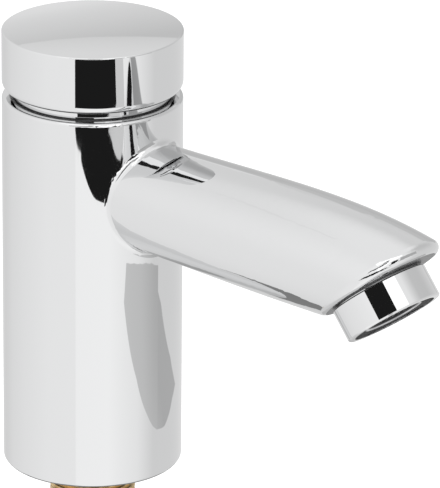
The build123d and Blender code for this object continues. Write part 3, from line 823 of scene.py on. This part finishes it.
@dataclass
class PushHead:
    """Push cap, the neck that guides it and what moves with it.

    Attributes:
        columns: Points round each ring of the cap.
        radius: Outer radius of the cap.
        bore_r: Radius of its bore.
        boss_r: Radius of the boss for the spindle.
        hole_r: Radius of the hole in the boss.
        bottom_z: Height of the cap's lower rim.
        boss_z: Height of the boss's lower face.
        hole_z: Height of the hole's blind end.
        ceiling_z: Height of the ceiling inside.
        top_z: Height of the crown.
        dome: Rise of the crown over the edge.
        rim_r: Rounding of the lower rim.
        edge_r: Rounding of the upper edge.
        hem: Width of the narrow ring beside each rounding, which keeps the wall beside it even.
        arc_steps: Rings in each rounding.
        dome_steps: Rings on the dome.
        crown_r: Radius of the flat spot in the middle.
    """

    columns: int = 192
    radius: float = 25.0 * MM
    bore_r: float = 22.5 * MM
    boss_r: float = 6.5 * MM
    hole_r: float = 2.55 * MM
    bottom_z: float = 109.7 * MM
    boss_z: float = 117.5 * MM
    hole_z: float = 122.05 * MM
    ceiling_z: float = 123.2 * MM
    top_z: float = 126.5 * MM
    dome: float = 0.3 * MM
    rim_r: float = 2.2 * MM
    edge_r: float = 0.4 * MM
    hem: float = 0.05 * MM
    arc_steps: int = 12
    dome_steps: int = 24
    crown_r: float = 0.3 * MM

    def dome_z(self, radius: float) -> float:
        """Height of the dome at a distance from the axis."""
        curve = self.radius**2 / (2 * self.dome) + self.dome / 2
        return self.top_z - curve + math.sqrt(curve**2 - radius**2)

    def rounding(self, z: float, rounding_r: float, start: float, end: float) -> Wall:
        """Rings of a rounding on the outer edge.

        Args:
            z: Height of the rounding's centre.
            rounding_r: Radius of the rounding.
            start: Angle of the first ring above the horizontal, in radians.
            end: Angle of the last ring.

        Returns:
            Height and radius of each ring.
        """
        turns = [start + (end - start) * i / self.arc_steps for i in range(self.arc_steps + 1)]
        centre = self.radius - rounding_r
        return [(z + rounding_r * math.sin(turn), centre + rounding_r * math.cos(turn)) for turn in turns]

    def cap_rings(self) -> Wall:
        """Rings of the cap from its hole round the rim to the crown.

        Returns:
            Height and radius of each ring.
        """
        rings = [(self.hole_z, self.hole_r), (self.boss_z, self.hole_r), (self.boss_z, self.boss_r)]
        rings += [(self.ceiling_z, self.boss_r), (self.ceiling_z, self.bore_r)]
        rings.append((self.bottom_z, self.bore_r))
        low, inner = self.bottom_z + self.rim_r, self.radius - self.edge_r
        high = self.dome_z(inner) - self.edge_r
        rings += self.rounding(low, self.rim_r, -math.pi / 2, 0.0)
        rings += [(low + self.hem, self.radius), (high - self.hem, self.radius)]
        slope = math.asin(inner * 2 * self.dome / self.radius**2)
        rings += self.rounding(high, self.edge_r, 0.0, math.pi / 2 - slope)
        inner -= self.hem
        for i in range(self.dome_steps + 1):
            radius = inner + (self.crown_r - inner) * i / self.dome_steps
            rings.append((self.dome_z(radius), radius))
        return rings

    def build(self) -> None:
        """Build the cap with its even dome, in place of the plain one, and dress the head."""
        cap = turned_mesh("push_cap_turned", self.cap_rings(), self.columns)
        add_piece(cap, CHROME, Body.BUTTON, "push_cap")
        dress_nodes(CHROME, ["head_nut"])
        dress_nodes(STEEL, ["cap_lock_nut", "spindle", "piston_clips", "bush_circlip", "metering_pin"])
        dress_nodes(ACETAL, ["guide_ring", "guide_bush", "piston"])
        dress_nodes(RUBBER, ["head_ring", "spindle_ring", "piston_cup"])


@dataclass
class Cartridge:
    """Valve and timing cartridge inside the body.

    Attributes:
        seat_z: Face that the spring stands on.
        piston_z: Face that it pushes.
        coil_r: Radius of the spring's centre line.
        wire_r: Radius of its wire.
        open_turns: Turns between the two closed ends.
        end_turns: Turns of each closed end.
        end_pitch: Rise of each closed turn.
        pressed_share: Length of the spring with the cap pressed, as a share of its length at rest, not used
            here.
        steps_per_turn: Sections of the wire in each turn.
        sides: Points round the wire.
    """

    seat_z: float = 58.0 * MM
    piston_z: float = 80.0 * MM
    coil_r: float = 8.5 * MM
    wire_r: float = 0.65 * MM
    open_turns: int = 5
    end_turns: int = 1
    end_pitch: float = 1.8 * MM
    pressed_share: float = 20.0 / 22.0
    steps_per_turn: int = 48
    sides: int = 16

    def spring_height(self, turns: float) -> float:
        """Height of the spring's centre line above the seat.

        Args:
            turns: Turns of the coil from its lower end.

        Returns:
            The height.
        """
        free = self.piston_z - self.seat_z - 2 * self.wire_r
        open_pitch = (free - 2 * self.end_turns * self.end_pitch) / self.open_turns
        lower = min(turns, self.end_turns) * self.end_pitch
        middle = min(max(turns - self.end_turns, 0.0), self.open_turns) * open_pitch
        upper = max(turns - self.end_turns - self.open_turns, 0.0) * self.end_pitch
        return self.wire_r + lower + middle + upper

    def wire_ring(self, section: int) -> list[Point]:
        """Points round the spring's wire, cut off at its ground ends.

        Args:
            section: Number of the section along the wire.

        Returns:
            The points in order.
        """
        turns = section / self.steps_per_turn
        angle = 2 * math.pi * turns
        ring = []
        for j in range(self.sides):
            round_wire = 2 * math.pi * j / self.sides
            radius = self.coil_r + self.wire_r * math.cos(round_wire)
            z = self.seat_z + self.spring_height(turns) + self.wire_r * math.sin(round_wire)
            z = min(max(z, self.seat_z), self.piston_z)
            ring.append((radius * math.cos(angle), radius * math.sin(angle), z))
        return ring

    def build(self) -> None:
        """Build the spring with closed, ground ends, in place of the plain one, and dress the rest."""
        sections = (self.open_turns + 2 * self.end_turns) * self.steps_per_turn + 1
        mesh = ring_mesh("return_spring_coil", [self.wire_ring(i) for i in range(sections)])
        coil = add_piece(mesh, STEEL, Body.TAP, "return_spring")
        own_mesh(coil)
        dress_nodes(ACETAL, ["cartridge_sleeve"])
        dress_nodes(BRASS, ["valve_seat", "valve_holder", "valve_nut"])
        dress_nodes(RUBBER, ["valve_washer", "spigot_ring", "collar_ring", "seat_ring"])


@dataclass
class Outlet:
    """Aerator at the end of the spout."""

    def build(self) -> None:
        """Dress the aerator."""
        dress_nodes(CHROME, ["aerator_housing"])
        dress_nodes(GRID_STEEL, ["aerator_grid"])
        dress_nodes(DARK_PLASTIC, ["aerator_insert"])
        dress_nodes(ACETAL, ["aerator_strainer"])
        dress_nodes(RUBBER, ["aerator_seal", "flow_regulator"])


@dataclass
class Studio:
    """Pale floor, soft light, and the surroundings that polished metal shows.

    Places on the cards are distances ahead of the tap towards the camera, to the camera's right and up,
    in mm. Brightness is the level that polished metal shows, before the metal's own colour.

    Attributes:
        floor_z: Height of the floor, in metres.
        floor_size: Side of the floor, in metres.
        floor_colour: Colour of the floor.
        floor_glow: Light that the floor gives itself, so that it shows white.
        ambient: Strength of the light on matt surfaces.
        lamp_place: Place of the lamp, in metres.
        lamp_aim: Point that it is turned to.
        lamp_size: Its side, in metres.
        lamp_power: Its power in watts.
        full: Brightest level of the surroundings.
        gain: Strength of the surroundings over the brightness that they show.
        low: Brightness below the horizon by bearing, in degrees to the right of the camera side.
        high: The same well above the horizon.
        horizon: Sine of the elevations between which low turns to high.
        top: Brightness overhead.
        zenith: Sine of the elevations between which high turns to top.
        table_edge: Outline of the dark region past the table's edge.
        table_patch: Outline of a pale patch on it.
        patch_z: Its height.
        patch_light: Its brightness.
        table_shadow: Outline of the spout's shadow on the table.
        shadow_z: Its height.
        shadow_share: Brightness left in it.
        foot: Outline of the shade under the base.
        foot_z: Its height.
        foot_light: Its brightness.
        wall_ahead: Distance ahead of the wall behind the tap and of the haze before it.
        wall: Outline of the wall.
        wall_light: Brightness of the wall by height.
        haze_low: Lower end of the haze that the cap's top mirrors.
        haze_edge: Line that parts the lower haze from the upper one, from the left.
        haze_high: Upper end of the haze.
        haze_low_light: Brightness of the lower haze by height along a slanted line.
        haze_slant: How much a step to the right counts as height on that line.
        haze_high_light: Brightness of the upper haze by height.
        panels: Name, brightness and outline of each other card.
    """

    floor_z: float = -52.3 * MM
    floor_size: float = 6.0
    floor_colour: Colour = (0.9, 0.9, 0.9)
    floor_glow: float = 0.42
    ambient: float = 0.8
    lamp_place: Point = (-0.35, -0.9, 1.1)
    lamp_aim: Point = (0.03, 0.0, 0.05)
    lamp_size: float = 0.9
    lamp_power: float = 6.0
    full: float = 1.45
    gain: float = 1.25
    low: Pairs = (
        (-180, 0.62), (-150, 0.65), (-125, 0.78), (-100, 0.84), (-60, 0.9), (-22, 0.91), (-21, 0.98),
        (20, 0.99), (40, 0.93), (60, 0.88), (85, 0.70), (150, 0.69), (180, 0.62),
    )
    high: Pairs = (
        (-180, 0.71), (-110, 0.83), (-80, 0.92), (-40, 0.97), (-20, 1.0), (28, 1.0),
        (42, 0.91), (60, 0.88), (90, 0.6), (120, 0.58), (155, 0.69), (180, 0.71),
    )
    horizon: Edge = (-0.26, 0.5)
    top: float = 0.89
    zenith: Edge = (0.67, 0.91)
    table_edge: Pairs = (
        (600, -200), (358, -140), (297, -115), (287, -103), (285, -89), (287, -72), (279, -68), (272, -48),
        (264, -24), (255, 4), (246, 40), (245, 63), (250, 105), (240, 133), (226, 172), (298, 166),
        (340, 178), (600, 290),
    )
    table_patch: Pairs = (
        (300, 101), (293, 110), (282, 120), (273, 124), (262, 132), (252, 140), (240, 155),
        (238, 175), (246, 196), (262, 214), (300, 232), (345, 250), (345, 180), (298, 167),
    )
    patch_z: float = 0.4
    patch_light: float = 0.66
    table_shadow: Pairs = (
        (149, 125), (130, 97), (96, 87), (62, 77), (32, 61), (18, 52), (5, 53), (-19, 64), (-33, 66),
        (-33, 71), (-30, 94), (-5, 145), (18, 181), (44, 181), (74, 174), (100, 162), (123, 148),
        (143, 131),
    )
    shadow_z: float = -0.2
    shadow_share: float = 0.65
    foot: Pairs = (
        (29, 12), (12, 29), (-12, 29), (-29, 12), (-29, -12), (-12, -29), (12, -29), (29, -12),
    )
    foot_z: float = -12.0
    foot_light: float = 0.22
    wall_ahead: float = -600.0
    wall: Pairs = ((45, 20), (520, 20), (520, 490), (45, 490))
    wall_light: Pairs = (
        (20, 0.50), (230, 0.50), (270, 0.54), (345, 0.555), (388, 0.57), (396, 0.65), (490, 0.70),
    )
    haze_low: float = 284.0
    haze_edge: Pairs = (
        (-60, 364), (-48, 359), (-33, 353), (-18, 348), (0, 344.5), (24, 343), (56, 344),
    )
    haze_high: float = 384.0
    haze_low_light: Pairs = (
        (284, 0.79), (292, 0.77), (300, 0.725), (310, 0.69), (320, 0.665), (340, 0.607), (356, 0.56),
    )
    haze_slant: float = 0.5
    haze_high_light: Pairs = ((342, 0.655), (352, 0.70), (360, 0.725), (368, 0.748), (384, 0.75))
    panels: tuple[tuple[str, float, tuple[Point, ...]], ...] = (
        ("dark_camera_side", DARK, (
            (610, -330, 200), (610, 0, 300), (610, 140, 420), (610, 140, 570), (610, -330, 310),
        )),
        ("dark_lower_corner", DARK, ((610, 305, 30), (610, 500, 30), (610, 500, 330), (610, 305, 330))),
        ("dark_upper_gap", 0.02, ((610, -66, 640), (610, 157, 640), (610, 157, 860), (610, -66, 860))),
        ("grey_right_side", 0.45, ((610, 560, 20), (200, 900, 20), (200, 900, 420), (610, 560, 480))),
        ("soft_front", 1.3, (
            (300, 48, 55), (300, 105, 55), (300, 105, 130), (300, 125, 160), (300, 130, 235),
            (300, 255, 262), (300, 300, 340), (300, 300, 520), (300, 97, 520), (300, 97, 160),
            (300, 48, 150),
        )),
        ("soft_roof", 1.3, (
            (137, -376, 900), (164, -450, 900), (281, -487, 900), (654, -377, 900),
            (709, 258, 900), (376, 137, 900), (315, -182, 900),
        )),
        ("roof_seam", 0.8, (
            (-271, -586, 801), (-151, -614, 819), (-62, -533, 903),
            (-62, -509, 927), (-151, -590, 843), (-271, -562, 825),
        )),
    )

    def by_bearing(self, nodes: Nodes, direction: Value, table: Pairs) -> Value:
        """Share of the full brightness by bearing, from a table of brightness by degrees."""
        bearing = direction.dot(CAMERA_SIDE).bearing(direction.dot(CAMERA_RIGHT))
        return nodes.ramp(bearing, [(degrees / 360 + 0.5, light / self.full) for degrees, light in table])

    def by_height(self, nodes: Nodes, table: Pairs, slant: float) -> Value:
        """Share of the full brightness by height in mm, where a step to the right counts by the slant."""
        height = nodes.place().dot((CAMERA_RIGHT[0] * slant, CAMERA_RIGHT[1] * slant, 1.0))
        return nodes.ramp(height, [(z * MM, light / self.full) for z, light in table])

    def surroundings(self, nodes: Nodes) -> Value:
        """Share of the full brightness by direction.

        Args:
            nodes: Tree of the world.

        Returns:
            The share.
        """
        direction = nodes.add("ShaderNodeTexCoord", output="Generated").unit()
        rise = direction.dot(UP)
        low = self.by_bearing(nodes, direction, self.low)
        high = self.by_bearing(nodes, direction, self.high)
        sides = nodes.blend(rise.smooth(*self.horizon), low, high)
        return nodes.blend(rise.smooth(*self.zenith), sides, (self.top / self.full,) * 3)

    def world(self) -> None:
        """Soft surroundings, white to the camera."""
        world = bpy.data.worlds.new("soft_surroundings")
        bpy.context.scene.world = world
        world.use_nodes = True
        nodes = Nodes(world.node_tree)
        path = "ShaderNodeLightPath"
        ambient = nodes.light(BACKGROUND, self.ambient)
        seen = nodes.light(BACKGROUND, 1.0)
        mirrored = nodes.glow(BACKGROUND, self.surroundings(nodes), self.full * self.gain)
        in_metal = nodes.add(path, output="Is Glossy Ray") + nodes.add(path, output="Is Transmission Ray")
        lit = nodes.either(in_metal, ambient, mirrored)
        surface = nodes.either(nodes.add(path, output="Is Camera Ray"), lit, seen)
        nodes.add("ShaderNodeOutputWorld", {}, {"Surface": surface})

    def floor_shader(self, nodes: Nodes) -> Value:
        """Matt colour that gives some light itself."""
        matt = nodes.add("ShaderNodeBsdfDiffuse", {}, {"Color": (*self.floor_colour, 1.0)})
        return nodes.add("ShaderNodeAddShader", {}, {0: matt, 1: nodes.light(EMISSION, self.floor_glow)})

    def floor(self) -> None:
        """Pale floor that shows white and keeps the object's shadow."""
        half = self.floor_size / 2
        corners = [(-half, -half), (half, -half), (half, half), (-half, half)]
        floor = self.panel("studio_floor", [(x, y, self.floor_z) for x, y in corners])
        floor.data.materials.append(new_material("pale_floor", self.floor_shader))
        floor.visible_glossy = False
        floor.visible_transmission = False

    def panel(self, name: str, corners: Sequence[Sequence[float]]) -> bpy.types.Object:
        """A flat studio panel.

        Args:
            name: Name of the panel.
            corners: Its corners in order.

        Returns:
            The new object.
        """
        mesh = bpy.data.meshes.new(name)
        mesh.from_pydata([tuple(c) for c in corners], [], [tuple(range(len(corners)))])
        panel = bpy.data.objects.new(name, mesh)
        bpy.context.scene.collection.objects.link(panel)
        return panel

    def card(self, name: str, corners: Iterable[Point], light: float | Callable[[Nodes], Value]) -> None:
        """A card that only polished surfaces show.

        Args:
            name: Name of the card.
            corners: Its corners in order.
            light: Its brightness, or what gives the share of the full one in the card's node tree.
        """

        def shader(nodes: Nodes) -> Value:
            """Light of the card."""
            share = light(nodes) if callable(light) else light / self.full
            return nodes.glow(EMISSION, share, self.full * self.gain)

        ahead, right = Vector(CAMERA_SIDE), Vector(CAMERA_RIGHT)
        card = self.panel(name, [(ahead * a + right * b + Vector(UP) * c) * MM for a, b, c in corners])
        card.data.materials.append(new_material(name, shader))
        card.visible_camera = False
        card.visible_diffuse = False
        card.visible_shadow = False
        card.visible_transmission = False

    def shadow_light(self, nodes: Nodes) -> Value:
        """Share of the full brightness in the spout's shadow."""
        return self.by_bearing(nodes, nodes.place(), self.low) * self.shadow_share

    def table_cards(self) -> None:
        """Cards at the height of the table."""
        for name, z, outline, light in (
            ("dark_table_edge", 0.0, self.table_edge, DARK),
            ("pale_table_patch", self.patch_z, self.table_patch, self.patch_light),
            ("spout_shadow", self.shadow_z, self.table_shadow, self.shadow_light),
            ("dark_under_base", self.foot_z, self.foot, self.foot_light),
        ):
            self.card(name, [(a, b, z) for a, b in outline], light)

    def wall_cards(self) -> None:
        """Cards behind the tap."""
        left, right = self.haze_edge[0][0], self.haze_edge[-1][0]
        lower = [(left, self.haze_low), (right, self.haze_low), *reversed(self.haze_edge)]
        upper = [*self.haze_edge, (right, self.haze_high), (left, self.haze_high)]
        for name, outline, table, slant in (
            ("back_wall", self.wall, self.wall_light, 0.0),
            ("haze_low", lower, self.haze_low_light, self.haze_slant),
            ("haze_high", upper, self.haze_high_light, 0.0),
        ):
            light = partial(self.by_height, table=table, slant=slant)
            self.card(name, [(self.wall_ahead, b, z) for b, z in outline], light)

    def lamp(self) -> None:
        """One broad soft lamp from the upper left."""
        data = bpy.data.lights.new("soft_lamp", "AREA")
        data.shape = "SQUARE"
        data.size = self.lamp_size
        data.energy = self.lamp_power
        lamp = bpy.data.objects.new("soft_lamp", data)
        bpy.context.scene.collection.objects.link(lamp)
        lamp.location = self.lamp_place
        towards = Vector(self.lamp_aim) - lamp.location
        lamp.rotation_euler = towards.to_track_quat("-Z", "Y").to_euler()
        lamp.visible_glossy = False

    def build(self) -> None:
        """Build the studio."""
        self.world()
        self.floor()
        self.lamp()
        self.table_cards()
        self.wall_cards()
        for name, light, outline in self.panels:
            self.card(name, outline, light)
        LOG.info("studio built")


@dataclass
class PhotoCamera:
    """Camera at the photograph's place.

    Attributes:
        aim: Point on the tap's axis that the camera's height and side are worked out from.
        distance: Distance from that point.
        elevation: Angle above the horizon, in degrees.
        turn: Turn of the camera to its right, in degrees.
        lens: Focal length in millimetres.
        sensor: Width of the sensor in millimetres.
        near: Nearest distance that shows.
        far: Farthest distance that shows.
    """

    aim: Point = (0.0, 0.0, 0.0631)
    distance: float = 1.4648
    elevation: float = 21.118
    turn: float = 1.384
    lens: float = 389.07
    sensor: float = 36.0
    near: float = 0.05
    far: float = 50.0

    def build(self) -> None:
        """Make the camera and set it as the scene's own."""
        rise, turn = math.radians(self.elevation), math.radians(self.turn)
        back = Vector(CAMERA_SIDE) * math.cos(rise) + Vector(UP) * math.sin(rise)
        right = Vector(CAMERA_RIGHT)
        up = back.cross(right)
        ahead = right * math.sin(turn) - back * math.cos(turn)
        across = right * math.cos(turn) + back * math.sin(turn)
        data = bpy.data.cameras.new("photo_camera")
        data.lens = self.lens
        data.sensor_width = self.sensor
        data.clip_start = self.near
        data.clip_end = self.far
        camera = bpy.data.objects.new("photo_camera", data)
        bpy.context.scene.collection.objects.link(camera)
        turned = Matrix((across, up, -ahead)).transposed()
        camera.matrix_world = Matrix.Translation(Vector(self.aim) + back * self.distance) @ turned.to_4x4()
        bpy.context.scene.camera = camera
        LOG.info("camera set")


def main() -> None:
    """Build the tap's looks and the studio."""
    logging.basicConfig(level=logging.INFO, format="%(name)s: %(message)s")
    bpy.context.scene.view_settings.view_transform = "Standard"
    parts = (DeckFixing(), UprightBody(), Cartridge(), PushHead(), Outlet(), Studio(), PhotoCamera())
    for part in parts:
        part.build()


if __name__ == "__main__":
    main()
